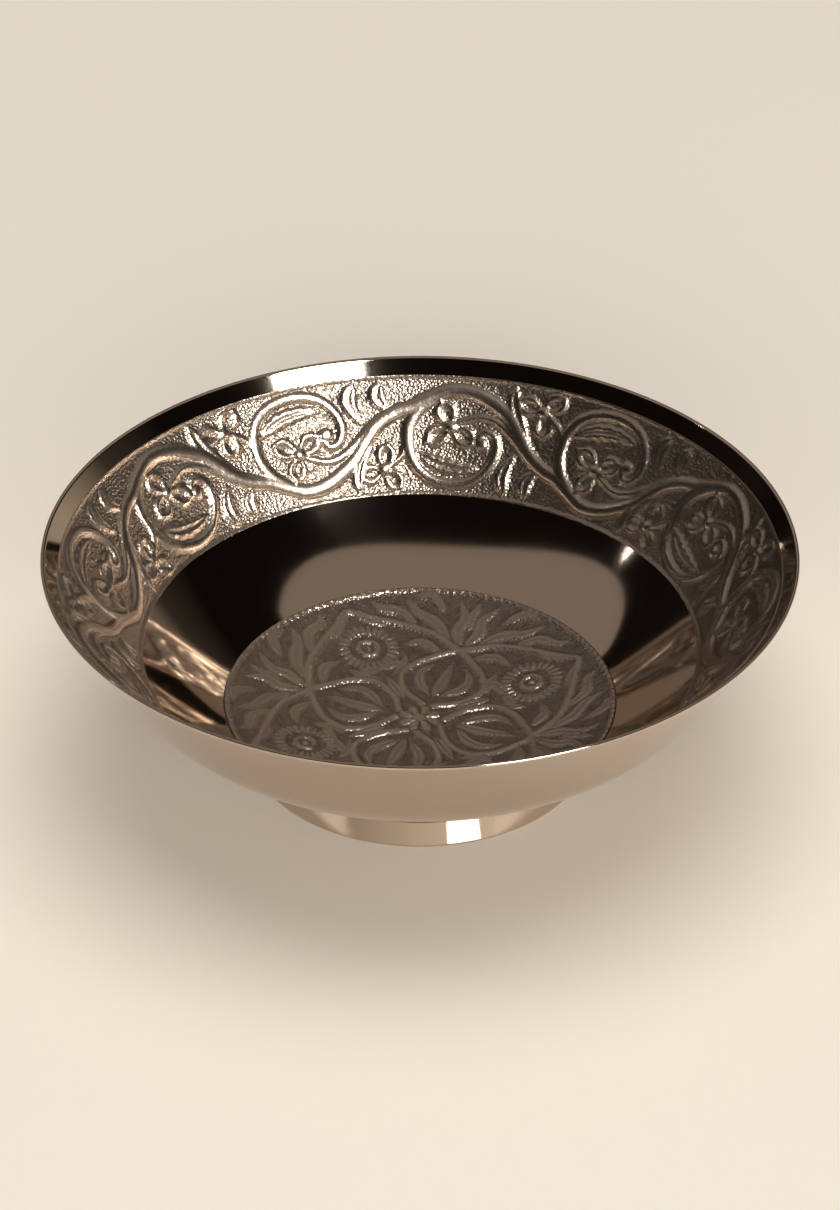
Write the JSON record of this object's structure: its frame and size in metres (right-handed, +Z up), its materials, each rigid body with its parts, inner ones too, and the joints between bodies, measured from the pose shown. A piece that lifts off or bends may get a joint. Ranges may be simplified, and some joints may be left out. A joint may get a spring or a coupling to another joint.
{
  "type": "offering bowl",
  "caption": "Round footed offering bowl with a flaring wall, a rounded rim wire, a vine frieze inside, a floral medallion in the floor and a low flared foot ring.",
  "frame": {"origin": "centre of the foot ring's underside, on the surface that the bowl stands on", "axes": "+Z up along the bowl's axis, -Y towards the side that faces the viewer, +X to the viewer's right"},
  "size_m": [0.127, 0.127, 0.0412],
  "materials": {
    "polished_plate": "polished silver plate",
    "antiqued_plate": "struck silver plate with darkened recesses",
    "solder": "dull run of solder"
  },
  "bodies": {
    "root": {"bowl_body": "polished_plate", "rim_wire": "polished_plate", "frieze_band": "antiqued_plate", "medallion": "antiqued_plate", "foot_ring": "polished_plate", "foot_solder": "solder"}
  },
  "joints": []
}
